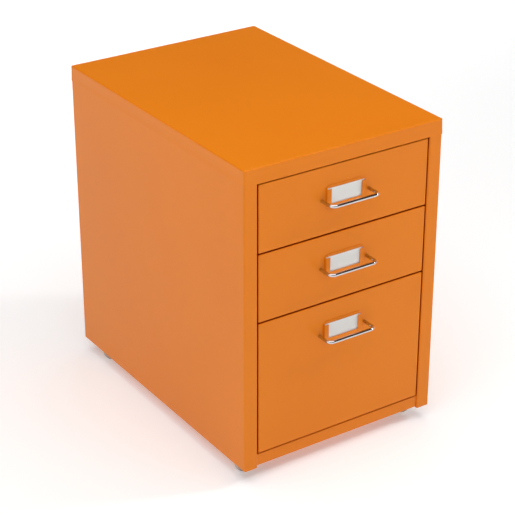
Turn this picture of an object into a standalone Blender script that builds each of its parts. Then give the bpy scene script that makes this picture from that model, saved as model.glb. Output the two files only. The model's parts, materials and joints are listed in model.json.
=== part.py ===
"""A sheet-steel filing cabinet on swivel castors: two shallow drawers above one file drawer.

Metres, +Z up. The drawers open towards -Y. The origin is on the floor, under the middle of the
whole object, which reaches from the front of the wire handles to the back of the top cap.
"""

import math

import bmesh
import bpy
from mathutils import Matrix

# Clearances and sheet
GAP = 0.0003  # between pieces that touch
SHEET = 0.001
BEND = 0.0018  # outside radius of a bend in the sheet
BEND_STEPS = 2
ROUND_STEPS = 24  # sides of a turned piece
SMALL_STEPS = 16  # sides of a small turned piece

# Carcass
CAP_WIDTH = 0.400
CAP_DEPTH = 0.570
CAP_FLANGE = 0.0282
CAP_STANDS_OUT = 0.0015  # from the carcass, on every side
CARCASS_HEIGHT = 0.560  # from the side panels' lower edge to the top of the cap
FLOOR_CLEARANCE = 0.027  # under the side panels
STILE_WIDTH = 0.024
STILE_RETURN = 0.012
REAR_FLANGE = 0.016
BACK_FLANGE = 0.012
BASE_RECESS = 0.0025  # of the base's front flange behind the stiles, and above their lower ends
BASE_FLANGE = 0.0227

# Drawers, heights above the side panels' lower edge
FRONT_DEPTH = 0.016
DRAWER_SIDE_GAP = 0.0038
DRAWER_EDGES = {
    "bottom": (0.0279, 0.2782),
    "middle": (0.2812, 0.4047),
    "top": (0.4077, 0.5296),
}
BOX_HALF_WIDTH = 0.1620
BOX_REAR_CLEARANCE = 0.030  # from the box to the back of the carcass
BOX_LIFT = {"bottom": 0.006, "middle": 0.012, "top": 0.012}
BOX_HEIGHT = {"bottom": 0.230, "middle": 0.088, "top": 0.088}
RUNNER_HEIGHT = {"bottom": 0.120, "middle": 0.045, "top": 0.045}  # above the drawer's lower edge

# Runners
RAIL_DEPTH = 0.0055
RAIL_TALL = 0.020
RAIL_FROM_FRONT = 0.012  # from the drawer box's front
RAIL_FROM_REAR = 0.010
CHANNEL_OUTER = 0.1725  # the fixed channel's outside face, from the middle of the cabinet
CHANNEL_DEPTH = 0.0085
CHANNEL_TALL = 0.026
CHANNEL_FRONT = 0.020  # behind the stiles' front face
CHANNEL_REAR = 0.022  # in front of the carcass's back
BRACKET_LONG = 0.026
BRACKET_TALL = 0.022
BRACKET_INSET = 0.040  # from either end of the channel

# Handle and label holder
WIRE_RADIUS = 0.003
HANDLE_SPAN = 0.095  # between the middles of the legs
HANDLE_REACH = 0.033
HANDLE_BEND = 0.009
HANDLE_BELOW_TOP = 0.0595
SCREW_RADIUS = 0.0015
SCREW_BITE = 0.008
SCREW_HEAD_RADIUS = 0.0036
SCREW_HEAD_TALL = 0.0022
HOLDER_WIDTH = 0.078
HOLDER_ABOVE_HANDLE = 0.0245
HOLDER_BELOW_HANDLE = 0.0155
HOLDER_DEPTH = 0.0042
HOLDER_SHEET = 0.0008
HOLDER_CORNER = 0.006
HOLDER_LIP = 0.008
HOLDER_LIP_DROP = 0.0055  # of the front lips below the back plate's top edge
CARD_WIDTH = 0.0745
CARD_HEIGHT = 0.0345
CARD_THICK = 0.0006
CARD_CORNER = 0.001

# Rails for hanging files
FILE_RAIL_TOP = 0.247
FILE_RAIL_TALL = 0.020
RAIL_FROM_FRONT = 0.012  # from the drawer box's front
RAIL_FROM_REAR = 0.010
FILE_RAIL_WIDE = 0.008
FILE_RAIL_FRONT = 0.070
FILE_RAIL_SPACING = 0.330

# Castors
CASTOR_FROM_SIDE = 0.036  # from the carcass's side to the swivelling axis
CASTOR_FROM_FRONT = 0.040
CASTOR_FROM_REAR = 0.062
CASTOR_TRAIL = 0.011  # from the swivelling axis to the axle
CASTOR_PLATE = 0.038
CASTOR_PLATE_THICK = 0.002
CASTOR_PLATE_EDGE = 0.0005
RACE_RADIUS = 0.0125  # of the raised ring that the fork turns under
RACE_TALL = 0.003
RACE_EDGE = 0.0008
KINGPIN_RADIUS = 0.003
KINGPIN_HEAD_RADIUS = 0.0046
KINGPIN_HEAD_TALL = 0.0018
FORK_SHEET = 0.0015
FORK_HALF_WIDTH = 0.0070
FORK_REAR = 0.0115  # of its top behind the swivelling axis
FORK_FRONT = 0.0145
FORK_SHOULDER = 0.0060  # depth of its top before the arms narrow
FORK_FOOT_RADIUS = 0.0062  # round the axle
FORK_BEND = 0.0022
WHEEL_HEIGHT = 0.037  # across the flats of the faceted tread
WHEEL_HALF_WIDTH = 0.0050
WHEEL_EDGE = 0.0012
WHEEL_DISH = 0.0018  # depth of the hollow in each face
WHEEL_RIM = 0.0040  # from the tread to the hollow
WHEEL_HUB_RADIUS = 0.0052
WHEEL_SLOPE = 0.0009  # of the hollow's sides
AXLE_RADIUS = 0.0025
AXLE_HALF_LENGTH = 0.0083
AXLE_HEAD_RADIUS = 0.0042
AXLE_HEAD_TALL = 0.0010

# Worked out from the sizes above
HALF_WIDTH = CAP_WIDTH / 2 - CAP_STANDS_OUT
FRONT = (HANDLE_REACH + CAP_STANDS_OUT - CAP_DEPTH) / 2
BACK = FRONT + CAP_DEPTH - 2 * CAP_STANDS_OUT
OPENING_HALF = HALF_WIDTH - STILE_WIDTH
INNER_HALF = HALF_WIDTH - SHEET - GAP
TOP = FLOOR_CLEARANCE + CARCASS_HEIGHT
PANEL_TOP = TOP - SHEET - GAP
REAR_PLANE = BACK - SHEET - GAP  # outside of what lies inside the rear flanges
BASE_LOW = FLOOR_CLEARANCE + BASE_RECESS
BASE_TOP = BASE_LOW + BASE_FLANGE
FRONT_HALF = OPENING_HALF - DRAWER_SIDE_GAP
BOX_FRONT = FRONT_DEPTH + GAP
BOX_REAR = BACK - FRONT - BOX_REAR_CLEARANCE
CASTOR_TOP = BASE_TOP - SHEET - GAP
FORK_TOP = CASTOR_TOP - CASTOR_PLATE_THICK - RACE_TALL - GAP
WHEEL_RADIUS = WHEEL_HEIGHT / 2 / math.cos(math.pi / ROUND_STEPS)

PAINT = ("orange_paint", (0.79, 0.22, 0.025), 0.38, 0.0)
CHROME = ("chrome", (0.80, 0.80, 0.81), 0.08, 1.0)
ZINC = ("zinc_plate", (0.62, 0.63, 0.65), 0.35, 1.0)
CARD = ("card", (0.74, 0.74, 0.70), 0.80, 0.0)
GREY_PLASTIC = ("grey_plastic", (0.33, 0.34, 0.35), 0.45, 0.0)


def clear_scene():
    """Removes every object that the new file came with."""
    for obj in list(bpy.data.objects):
        bpy.data.objects.remove(obj, do_unlink=True)


def new_collection(name):
    collection = bpy.data.collections.new(name)
    bpy.context.scene.collection.children.link(collection)
    return collection


clear_scene()
PARTS = new_collection("filing_cabinet")
CUTTERS = new_collection("cutters")


def material(spec):
    """The Principled material of this name, made once."""
    name, colour, roughness, metallic = spec
    found = bpy.data.materials.get(name)
    if found:
        return found
    made = bpy.data.materials.new(name)
    made.use_nodes = True
    shader = made.node_tree.nodes["Principled BSDF"]
    shader.inputs["Base Color"].default_value = (*colour, 1.0)
    shader.inputs["Roughness"].default_value = roughness
    shader.inputs["Metallic"].default_value = metallic
    return made


def add_object(name, mesh, spec=None, parent=None, place=(0, 0, 0), turn=(0, 0, 0)):
    """Links a mesh as a part, or as a cutter where it has no material."""
    obj = bpy.data.objects.new(name, mesh)
    (PARTS if spec else CUTTERS).objects.link(obj)
    obj.parent = parent
    obj.location = place
    obj.rotation_euler = turn
    if spec:
        obj.data.materials.append(material(spec))
    else:
        obj.hide_render = True
        obj.display_type = "WIRE"
    return obj


def add_empty(name, place):
    """A joint's reference point, which the moving pieces hang from."""
    empty = bpy.data.objects.new(name, None)
    PARTS.objects.link(empty)
    empty.location = place
    empty.empty_display_size = 0.02
    return empty


def mesh_from(bm, name):
    mesh = bpy.data.meshes.new(name)
    bm.to_mesh(mesh)
    bm.free()
    return mesh


def smooth_round(obj):
    obj.data.shade_smooth()
    obj.data.set_sharp_from_angle(angle=math.radians(35))


def box_bmesh(low, high):
    bm = bmesh.new()
    bmesh.ops.create_cube(bm, size=1.0)
    for vert in bm.verts:
        for axis in range(3):
            middle = (low[axis] + high[axis]) / 2
            vert.co[axis] = middle + vert.co[axis] * (high[axis] - low[axis])
    return bm


def add_cylinder(name, radius, low, high, spec=None, parent=None, place=(0, 0, 0), turn=(0, 0, 0)):
    """A cylinder along its own Z, from low to high."""
    bm = bmesh.new()
    bmesh.ops.create_cone(
        bm, cap_ends=True, segments=SMALL_STEPS, radius1=radius, radius2=radius, depth=high - low
    )
    bmesh.ops.translate(bm, verts=bm.verts, vec=(0, 0, (low + high) / 2))
    return add_object(name, mesh_from(bm, name), spec, parent, place, turn)


def add_bevel(obj, width, steps=BEND_STEPS):
    bevel = obj.modifiers.new("Bends", "BEVEL")
    bevel.width = width
    bevel.segments = steps
    bevel.limit_method = "ANGLE"
    bevel.angle_limit = math.radians(30)


def add_thickness(obj, thickness=SHEET):
    """Gives an open surface its thickness, on the side away from its normals."""
    solid = obj.modifiers.new("Sheet", "SOLIDIFY")
    solid.thickness = thickness
    solid.offset = -1
    solid.use_even_offset = True


def add_boolean(obj, other, operation="DIFFERENCE"):
    cut = obj.modifiers.new(other.name, "BOOLEAN")
    cut.operation = operation
    cut.object = other
    cut.solver = "EXACT"


def round_corners(path, radius, steps):
    """The path with an arc at each inner point, as (x, y) pairs."""
    rounded = [path[0]]
    for before, here, after in zip(path, path[1:], path[2:]):
        into = math.atan2(here[1] - before[1], here[0] - before[0])
        out = math.atan2(after[1] - here[1], after[0] - here[0])
        bend = (out - into + math.pi) % (2 * math.pi) - math.pi
        side = math.copysign(1, bend)
        setback = radius * math.tan(abs(bend) / 2)
        start = (here[0] - setback * math.cos(into), here[1] - setback * math.sin(into))
        centre = (start[0] - side * radius * math.sin(into), start[1] + side * radius * math.cos(into))
        for step in range(steps + 1):
            angle = into + bend * step / steps
            rounded.append(
                (centre[0] + side * radius * math.sin(angle), centre[1] - side * radius * math.cos(angle))
            )
    rounded.append(path[-1])
    return rounded


def folded_sheet(name, path, low, high, spec, parent=None):
    """A sheet folded about upright lines: path is its plan, with the outside on the right."""
    bm = bmesh.new()
    points = [bm.verts.new((x, y, low)) for x, y in round_corners(path, BEND, BEND_STEPS)]
    edges = [bm.edges.new(pair) for pair in zip(points, points[1:])]
    raised = bmesh.ops.extrude_edge_only(bm, edges=edges)["geom"]
    lifted = [item for item in raised if isinstance(item, bmesh.types.BMVert)]
    bmesh.ops.translate(bm, verts=lifted, vec=(0, 0, high - low))
    bm.normal_update()
    middle_edge = edges[len(edges) // 2]
    face = middle_edge.link_faces[0]
    along = middle_edge.verts[1].co - middle_edge.verts[0].co
    if face.normal.dot(along.cross((0, 0, 1))) < 0:
        bmesh.ops.reverse_faces(bm, faces=bm.faces)
    obj = add_object(name, mesh_from(bm, name), spec, parent)
    add_thickness(obj)
    return obj


def tray(name, low, high, open_towards, spec, parent=None):
    """A folded box of sheet with one side left off, the side that faces open_towards."""
    bm = box_bmesh(low, high)
    bm.normal_update()
    lid = [face for face in bm.faces if face.normal.dot(open_towards) > 0.9]
    bmesh.ops.delete(bm, geom=lid, context="FACES")
    obj = add_object(name, mesh_from(bm, name), spec, parent)
    add_bevel(obj, BEND)
    add_thickness(obj)
    return obj


def plain_box(name, low, high, spec=None, parent=None):
    return add_object(name, mesh_from(box_bmesh(low, high), name), spec, parent)


def curve_as_mesh(name, curve):
    """The mesh of a curve with its caps joined on, so that it can be cut."""
    guide = bpy.data.objects.new(name + "_curve", curve)
    CUTTERS.objects.link(guide)
    graph = bpy.context.evaluated_depsgraph_get()
    mesh = bpy.data.meshes.new_from_object(guide.evaluated_get(graph))
    bpy.data.objects.remove(guide)
    bm = bmesh.new()
    bm.from_mesh(mesh)
    bmesh.ops.remove_doubles(bm, verts=bm.verts, dist=0.00001)
    bmesh.ops.recalc_face_normals(bm, faces=bm.faces)
    bm.to_mesh(mesh)
    bm.free()
    mesh.name = name
    return mesh


def wire_mesh(name, points, radius):
    """A round wire through these points."""
    curve = bpy.data.curves.new(name, "CURVE")
    curve.dimensions = "3D"
    curve.bevel_depth = radius
    curve.bevel_resolution = 4
    curve.use_fill_caps = True
    spline = curve.splines.new("POLY")
    spline.points.add(len(points) - 1)
    for point, place in zip(spline.points, points):
        point.co = (*place, 1.0)
    return curve_as_mesh(name, curve)


def flat_outline_mesh(name, outline, thickness):
    """A flat plate in its own XY plane, thickness centred on Z = 0."""
    curve = bpy.data.curves.new(name, "CURVE")
    curve.dimensions = "2D"
    curve.fill_mode = "BOTH"
    curve.extrude = thickness / 2
    spline = curve.splines.new("POLY")
    spline.use_cyclic_u = True
    spline.points.add(len(outline) - 1)
    for point, (x, y) in zip(spline.points, outline):
        point.co = (x, y, 0.0, 1.0)
    return curve_as_mesh(name, curve)


def rounded_rectangle(width, height, radius, steps):
    """The outline of a rectangle about the origin, with an arc at each corner."""
    outline = []
    for quarter in range(4):
        side_x = 1 if quarter in (0, 3) else -1
        side_y = 1 if quarter in (0, 1) else -1
        centre = (side_x * (width / 2 - radius), side_y * (height / 2 - radius))
        for step in range(steps + 1):
            angle = (quarter + step / steps) * math.pi / 2
            outline.append((centre[0] + radius * math.cos(angle), centre[1] + radius * math.sin(angle)))
    return outline


def turned(name, profile, spec, steps, parent=None, place=(0, 0, 0), turn=(0, 0, 0)):
    """Turns (radius, height) points about Z. The profile runs down the outside, top to bottom, and
    may come back to its first point up a bore."""
    bm = bmesh.new()
    bored = profile[0] == profile[-1]
    corners = profile[:-1] if bored else profile
    points = [bm.verts.new((radius, 0, height)) for radius, height in corners]
    for pair in zip(points, points[1:]):
        bm.edges.new(pair)
    if bored:
        bm.edges.new((points[-1], points[0]))
    obj = add_object(name, mesh_from(bm, name), spec, parent, place, turn)
    screw = obj.modifiers.new("Turn", "SCREW")
    screw.steps = steps
    screw.render_steps = steps
    screw.use_merge_vertices = True
    screw.merge_threshold = 0.00001
    screw.use_smooth_shade = True
    return obj


# Carcass


def make_top_cap():
    tray(
        "top_cap",
        (-CAP_WIDTH / 2, FRONT - CAP_STANDS_OUT, TOP - CAP_FLANGE),
        (CAP_WIDTH / 2, BACK + CAP_STANDS_OUT, TOP),
        (0, 0, -1),
        PAINT,
    )


def make_side_panel(name, side):
    """A side sheet with the front stile, its return, and a rear flange folded from it."""
    path = [
        (OPENING_HALF, FRONT + STILE_RETURN),
        (OPENING_HALF, FRONT),
        (HALF_WIDTH, FRONT),
        (HALF_WIDTH, BACK),
        (HALF_WIDTH - REAR_FLANGE, BACK),
    ]
    if side < 0:
        path = [(-x, y) for x, y in reversed(path)]
    folded_sheet(name, path, FLOOR_CLEARANCE, PANEL_TOP, PAINT)


def make_back_panel():
    path = [
        (INNER_HALF, REAR_PLANE - BACK_FLANGE),
        (INNER_HALF, REAR_PLANE),
        (-INNER_HALF, REAR_PLANE),
        (-INNER_HALF, REAR_PLANE - BACK_FLANGE),
    ]
    folded_sheet("back_panel", path, BASE_TOP + GAP, PANEL_TOP, PAINT)


def make_base_panel():
    """A tray with its flanges down. Its front flange is the rail under the lowest drawer."""
    base = tray(
        "base_panel",
        (-INNER_HALF, FRONT + BASE_RECESS, BASE_LOW),
        (INNER_HALF, REAR_PLANE, BASE_TOP),
        (0, 0, -1),
        PAINT,
    )
    for name, side in (("left", -1), ("right", 1)):
        near = side * (OPENING_HALF - GAP)
        far = side * (HALF_WIDTH + SHEET)
        notch = plain_box(
            f"stile_notch_{name}",
            (min(near, far), FRONT, FLOOR_CLEARANCE - SHEET),
            (max(near, far), FRONT + STILE_RETURN + GAP, BASE_TOP + SHEET),
        )
        add_boolean(base, notch)


# Runners


def channel_path(open_edge, web, tall, side):
    """The C section of a runner as (x, z), with its outside on the right of the way along it."""
    start = -tall / 2 if web > open_edge else tall / 2
    path = [(open_edge, start), (web, start), (web, -start), (open_edge, -start)]
    if side < 0:
        path = [(-x, z) for x, z in reversed(path)]
    return path


def channel_mesh(name, path, front, rear, thickness):
    """A C section run along Y, as one closed solid."""
    bm = bmesh.new()
    points = [bm.verts.new((x, front, z)) for x, z in path]
    edges = [bm.edges.new(pair) for pair in zip(points, points[1:])]
    moved = bmesh.ops.extrude_edge_only(bm, edges=edges)["geom"]
    ends = [item for item in moved if isinstance(item, bmesh.types.BMVert)]
    bmesh.ops.translate(bm, verts=ends, vec=(0, rear - front, 0))
    bm.normal_update()
    web = edges[len(edges) // 2]
    face = web.link_faces[0]
    along = web.verts[1].co - web.verts[0].co
    if face.normal.dot(along.cross((0, -1, 0))) < 0:
        bmesh.ops.reverse_faces(bm, faces=bm.faces)
    bmesh.ops.solidify(bm, geom=bm.faces, thickness=thickness)
    return mesh_from(bm, name)


def make_fixed_runner(name, side, height):
    """The channel that guides a drawer, with two brackets that reach the side panel."""
    front = FRONT + CHANNEL_FRONT
    rear = BACK - CHANNEL_REAR
    path = channel_path(CHANNEL_OUTER - CHANNEL_DEPTH, CHANNEL_OUTER, CHANNEL_TALL, side)
    channel = add_object(name, channel_mesh(name, path, front, rear, SHEET), ZINC, None, (0, 0, height))
    for end, start in (("front", front + BRACKET_INSET), ("rear", rear - BRACKET_INSET - BRACKET_LONG)):
        plan = [
            (CHANNEL_OUTER - SHEET / 2, start),
            (INNER_HALF, start),
            (INNER_HALF, start + BRACKET_LONG),
            (CHANNEL_OUTER - SHEET / 2, start + BRACKET_LONG),
        ]
        if side < 0:
            plan = [(-x, y) for x, y in reversed(plan)]
        bracket = folded_sheet(f"{name}_bracket_{end}", plan, -BRACKET_TALL / 2, BRACKET_TALL / 2, ZINC)
        bracket.location = (0, 0, height)
        hide_as_cutter(bracket)
        add_boolean(channel, bracket, "UNION")


def hide_as_cutter(obj):
    PARTS.objects.unlink(obj)
    CUTTERS.objects.link(obj)
    obj.hide_render = True
    obj.display_type = "WIRE"


def make_drawer_rail(name, side, height, drawer):
    """The inner member, on the drawer box's side, open towards the fixed channel."""
    web = BOX_HALF_WIDTH + GAP
    path = channel_path(web + RAIL_DEPTH, web, RAIL_TALL, side)
    mesh = channel_mesh(name, path, BOX_FRONT + RAIL_FROM_FRONT, BOX_REAR - RAIL_FROM_REAR, SHEET)
    add_object(name, mesh, ZINC, drawer, (0, 0, height))


# Drawers


def make_drawer_front(drawer_name, height, drawer):
    """The folded front panel, with a hole for each handle screw."""
    front = tray(
        f"{drawer_name}_front",
        (-FRONT_HALF, 0, 0),
        (FRONT_HALF, FRONT_DEPTH, height),
        (0, 1, 0),
        PAINT,
        drawer,
    )
    for name, side in (("left", -1), ("right", 1)):
        hole = add_cylinder(
            f"{drawer_name}_screw_hole_{name}",
            SCREW_RADIUS + GAP,
            -2 * SHEET,
            2 * SHEET,
            parent=drawer,
            place=(side * HANDLE_SPAN / 2, 0, height - HANDLE_BELOW_TOP),
            turn=(math.pi / 2, 0, 0),
        )
        add_boolean(front, hole)


def make_drawer_box(drawer_name, level, drawer):
    low = BOX_LIFT[level]
    tray(
        f"{drawer_name}_box",
        (-BOX_HALF_WIDTH, BOX_FRONT, low),
        (BOX_HALF_WIDTH, BOX_REAR, low + BOX_HEIGHT[level]),
        (0, 0, 1),
        PAINT,
        drawer,
    )


def make_handle(drawer_name, height, drawer):
    """A wire bent to a U, its two legs bored for the screws."""
    half = HANDLE_SPAN / 2
    bar = WIRE_RADIUS - HANDLE_REACH
    path = [(-half, -GAP), (-half, bar), (half, bar), (half, -GAP)]
    points = [(x, y, 0) for x, y in round_corners(path, HANDLE_BEND, 5)]
    name = f"{drawer_name}_handle"
    handle = add_object(name, wire_mesh(name, points, WIRE_RADIUS), CHROME, drawer, (0, 0, height))
    for end, side in (("left", -1), ("right", 1)):
        bore = add_cylinder(
            f"{name}_bore_{end}",
            SCREW_RADIUS + GAP,
            -2 * GAP,
            SCREW_BITE + GAP,
            parent=drawer,
            place=(side * half, 0, height),
            turn=(math.pi / 2, 0, 0),
        )
        add_boolean(handle, bore)
    smooth_round(handle)


def make_handle_screw(name, x, height, drawer):
    """A pan-head screw, from inside the drawer front into a leg of the handle."""
    profile = [
        (0, SCREW_BITE),
        (SCREW_RADIUS, SCREW_BITE),
        (SCREW_RADIUS, -SHEET - GAP),
        (SCREW_HEAD_RADIUS, -SHEET - GAP),
        (SCREW_HEAD_RADIUS, -SHEET - GAP - SCREW_HEAD_TALL * 0.55),
        (SCREW_HEAD_RADIUS * 0.7, -SHEET - GAP - SCREW_HEAD_TALL),
        (0, -SHEET - GAP - SCREW_HEAD_TALL),
    ]
    turned(name, profile, ZINC, SMALL_STEPS, drawer, (x, 0, height), (math.pi / 2, 0, 0))


def make_label_holder(drawer_name, height, drawer):
    """A pocket of folded sheet: a back plate, and a lip round its sides and foot."""
    name = f"{drawer_name}_label_holder"
    tall = HOLDER_ABOVE_HANDLE + HOLDER_BELOW_HANDLE
    middle = height + (HOLDER_ABOVE_HANDLE - HOLDER_BELOW_HANDLE) / 2
    outline = rounded_rectangle(HOLDER_WIDTH, tall, HOLDER_CORNER, 4)
    place = (0, -GAP - HOLDER_DEPTH / 2, middle)
    mesh = flat_outline_mesh(name, outline, HOLDER_DEPTH)
    holder = add_object(name, mesh, PAINT, drawer, place, (math.pi / 2, 0, 0))
    inner = HOLDER_WIDTH / 2 - HOLDER_SHEET
    window = HOLDER_WIDTH / 2 - HOLDER_LIP
    foot = middle - tall / 2
    back = -GAP - HOLDER_SHEET
    face = -GAP - HOLDER_DEPTH
    clear = face - HOLDER_DEPTH
    above = middle + tall
    slot = plain_box(
        f"{name}_slot",
        (-inner, face + HOLDER_SHEET, foot + HOLDER_SHEET),
        (inner, back, above),
        parent=drawer,
    )
    opening = plain_box(
        f"{name}_window",
        (-window, clear, foot + HOLDER_LIP),
        (window, back, above),
        parent=drawer,
    )
    drop = plain_box(
        f"{name}_drop",
        (-HOLDER_WIDTH, clear, middle + tall / 2 - HOLDER_LIP_DROP),
        (HOLDER_WIDTH, back, above),
        parent=drawer,
    )
    for cutter in (slot, opening, drop):
        add_boolean(holder, cutter)


def make_label_card(drawer_name, height, drawer):
    """The card in the holder, resting on its foot, with its corners rounded."""
    name = f"{drawer_name}_label_card"
    foot = height - HOLDER_BELOW_HANDLE + HOLDER_SHEET + GAP
    y = -GAP - HOLDER_SHEET - GAP - CARD_THICK / 2
    outline = rounded_rectangle(CARD_WIDTH, CARD_HEIGHT, CARD_CORNER, 2)
    mesh = flat_outline_mesh(name, outline, CARD_THICK)
    add_object(name, mesh, CARD, drawer, (0, y, foot + CARD_HEIGHT / 2), (math.pi / 2, 0, 0))


def make_file_rail(name, y, drawer):
    """A cross rail for hanging files: an inverted channel between the box's sides."""
    half_length = BOX_HALF_WIDTH - SHEET - GAP
    low = FILE_RAIL_TOP - FILE_RAIL_TALL
    bm = box_bmesh((-half_length, y, low), (half_length, y + FILE_RAIL_WIDE, FILE_RAIL_TOP))
    bm.normal_update()
    left_off = [face for face in bm.faces if abs(face.normal.x) > 0.9 or face.normal.z < -0.9]
    bmesh.ops.delete(bm, geom=left_off, context="FACES")
    rail = add_object(name, mesh_from(bm, name), ZINC, drawer)
    add_bevel(rail, BEND)
    add_thickness(rail)


def make_drawer(level):
    """One drawer, hung from an empty at the middle of its front's lower edge."""
    low, high = DRAWER_EDGES[level]
    height = high - low
    name = f"{level}_drawer"
    drawer = add_empty(f"{name}_slide", (0, FRONT, FLOOR_CLEARANCE + low))
    grip = height - HANDLE_BELOW_TOP
    make_drawer_front(name, height, drawer)
    make_drawer_box(name, level, drawer)
    make_handle(name, grip, drawer)
    make_label_holder(name, grip, drawer)
    make_label_card(name, grip, drawer)
    for side_name, side in (("left", -1), ("right", 1)):
        make_handle_screw(f"{name}_screw_{side_name}", side * HANDLE_SPAN / 2, grip, drawer)
        make_drawer_rail(f"{name}_rail_{side_name}", side, RUNNER_HEIGHT[level], drawer)
        make_fixed_runner(f"{level}_runner_{side_name}", side, FLOOR_CLEARANCE + low + RUNNER_HEIGHT[level])
    if level == "bottom":
        make_file_rail("file_rail_front", FILE_RAIL_FRONT, drawer)
        make_file_rail("file_rail_rear", FILE_RAIL_FRONT + FILE_RAIL_SPACING, drawer)


# Castors


def make_castor_plate(name, x, y):
    """The fixing plate, with a raised ring under it and the rivet that the fork turns on."""
    half = CASTOR_PLATE / 2
    place = (x, y, CASTOR_TOP)
    plate = plain_box(name, (-half, -half, -CASTOR_PLATE_THICK), (half, half, 0), ZINC)
    plate.location = place
    add_bevel(plate, CASTOR_PLATE_EDGE, 1)
    race_foot = -CASTOR_PLATE_THICK - RACE_TALL
    head_top = race_foot - FORK_SHEET - 2 * GAP
    profile = [
        (0, -CASTOR_PLATE_THICK / 2),
        (RACE_RADIUS, -CASTOR_PLATE_THICK / 2),
        (RACE_RADIUS, race_foot + RACE_EDGE),
        (RACE_RADIUS - RACE_EDGE, race_foot),
        (KINGPIN_RADIUS, race_foot),
        (KINGPIN_RADIUS, head_top),
        (KINGPIN_HEAD_RADIUS, head_top),
        (KINGPIN_HEAD_RADIUS, head_top - KINGPIN_HEAD_TALL / 2),
        (KINGPIN_RADIUS, head_top - KINGPIN_HEAD_TALL),
        (0, head_top - KINGPIN_HEAD_TALL),
    ]
    rivet = turned(f"{name}_rivet", profile, ZINC, SMALL_STEPS, None, place)
    hide_as_cutter(rivet)
    add_boolean(plate, rivet, "UNION")


def fork_outline(side):
    """The fork seen along the axle, as (x, z) from the middle of its top: a shoulder and a round foot."""
    outline = [(-FORK_REAR, -FORK_SHOULDER), (-FORK_REAR, 0), (FORK_FRONT, 0), (FORK_FRONT, -FORK_SHOULDER)]
    axle_drop = FORK_TOP - WHEEL_HEIGHT / 2
    for step in range(7):
        angle = math.radians(10 - 210 * step / 6)
        x = CASTOR_TRAIL + FORK_FOOT_RADIUS * math.cos(angle)
        outline.append((x, -axle_drop + FORK_FOOT_RADIUS * math.sin(angle)))
    return [(side * x, z) for x, z in outline]


def make_castor_fork(name, side, swivel):
    """A channel folded over the wheel, its arms narrowing down to the axle."""
    bm = box_bmesh((-CASTOR_PLATE, -FORK_HALF_WIDTH, -FORK_TOP), (CASTOR_PLATE, FORK_HALF_WIDTH, 0))
    bm.normal_update()
    left_off = [face for face in bm.faces if abs(face.normal.x) > 0.9 or face.normal.z < -0.9]
    bmesh.ops.delete(bm, geom=left_off, context="FACES")
    fork = add_object(name, mesh_from(bm, name), ZINC, swivel, (0, 0, FORK_TOP))
    add_bevel(fork, FORK_BEND)
    add_thickness(fork, FORK_SHEET)
    upright = (math.pi / 2, 0, 0)
    shape_mesh = flat_outline_mesh(f"{name}_shape", fork_outline(side), 4 * FORK_HALF_WIDTH)
    shape = add_object(f"{name}_shape", shape_mesh, None, swivel, (0, 0, FORK_TOP), upright)
    add_boolean(fork, shape, "INTERSECT")
    pin_bore = add_cylinder(
        f"{name}_pin_bore", KINGPIN_RADIUS + GAP, FORK_TOP - 2 * FORK_SHEET, CASTOR_TOP, None, swivel
    )
    axle_bore = add_cylinder(
        f"{name}_axle_bore",
        AXLE_RADIUS + GAP,
        -2 * FORK_HALF_WIDTH,
        2 * FORK_HALF_WIDTH,
        None,
        swivel,
        (side * CASTOR_TRAIL, 0, WHEEL_HEIGHT / 2),
        upright,
    )
    add_boolean(fork, pin_bore)
    add_boolean(fork, axle_bore)


def make_castor_axle(name, swivel, place):
    """A rivet through both arms of the fork, with a head at each end."""
    top = AXLE_HALF_LENGTH
    half = [
        (0, top),
        (AXLE_HEAD_RADIUS - AXLE_HEAD_TALL / 2, top),
        (AXLE_HEAD_RADIUS, top - AXLE_HEAD_TALL / 2),
        (AXLE_HEAD_RADIUS, top - AXLE_HEAD_TALL),
        (AXLE_RADIUS, top - AXLE_HEAD_TALL),
    ]
    profile = half + [(radius, -height) for radius, height in reversed(half)]
    turned(name, profile, ZINC, SMALL_STEPS, swivel, place, (math.pi / 2, 0, 0))


def make_castor_wheel(name, swivel, place):
    """A wheel bored for the axle, with a dished face and a hub on each side."""
    outer = WHEEL_HALF_WIDTH
    dish = outer - WHEEL_DISH
    bore = AXLE_RADIUS + GAP
    half = [
        (bore, outer),
        (WHEEL_HUB_RADIUS, outer),
        (WHEEL_HUB_RADIUS + WHEEL_SLOPE, dish),
        (WHEEL_RADIUS - WHEEL_RIM - WHEEL_SLOPE, dish),
        (WHEEL_RADIUS - WHEEL_RIM, outer),
        (WHEEL_RADIUS - WHEEL_EDGE, outer),
        (WHEEL_RADIUS, outer - WHEEL_EDGE),
    ]
    profile = half + [(radius, -height) for radius, height in reversed(half)]
    wheel = turned(name, profile + profile[:1], GREY_PLASTIC, ROUND_STEPS, swivel, place)
    # The flat of one facet is put at the bottom, where the wheel stands on it.
    half_facet = Matrix.Rotation(math.pi / ROUND_STEPS, 4, "Z")
    tip = Matrix.Rotation(math.pi / 2, 4, "X")
    wheel.matrix_local = Matrix.Translation(place) @ tip @ half_facet


def make_castor(corner, side, end):
    """One castor, its axle along Y and its wheel out towards the side panel."""
    x = side * (HALF_WIDTH - CASTOR_FROM_SIDE)
    y = FRONT + CASTOR_FROM_FRONT if end < 0 else BACK - CASTOR_FROM_REAR
    make_castor_plate(f"castor_plate_{corner}", x, y)
    swivel = add_empty(f"castor_swivel_{corner}", (x, y, 0))
    make_castor_fork(f"castor_fork_{corner}", side, swivel)
    axle_place = (side * CASTOR_TRAIL, 0, WHEEL_HEIGHT / 2)
    make_castor_axle(f"castor_axle_{corner}", swivel, axle_place)
    make_castor_wheel(f"castor_wheel_{corner}", swivel, axle_place)


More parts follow.
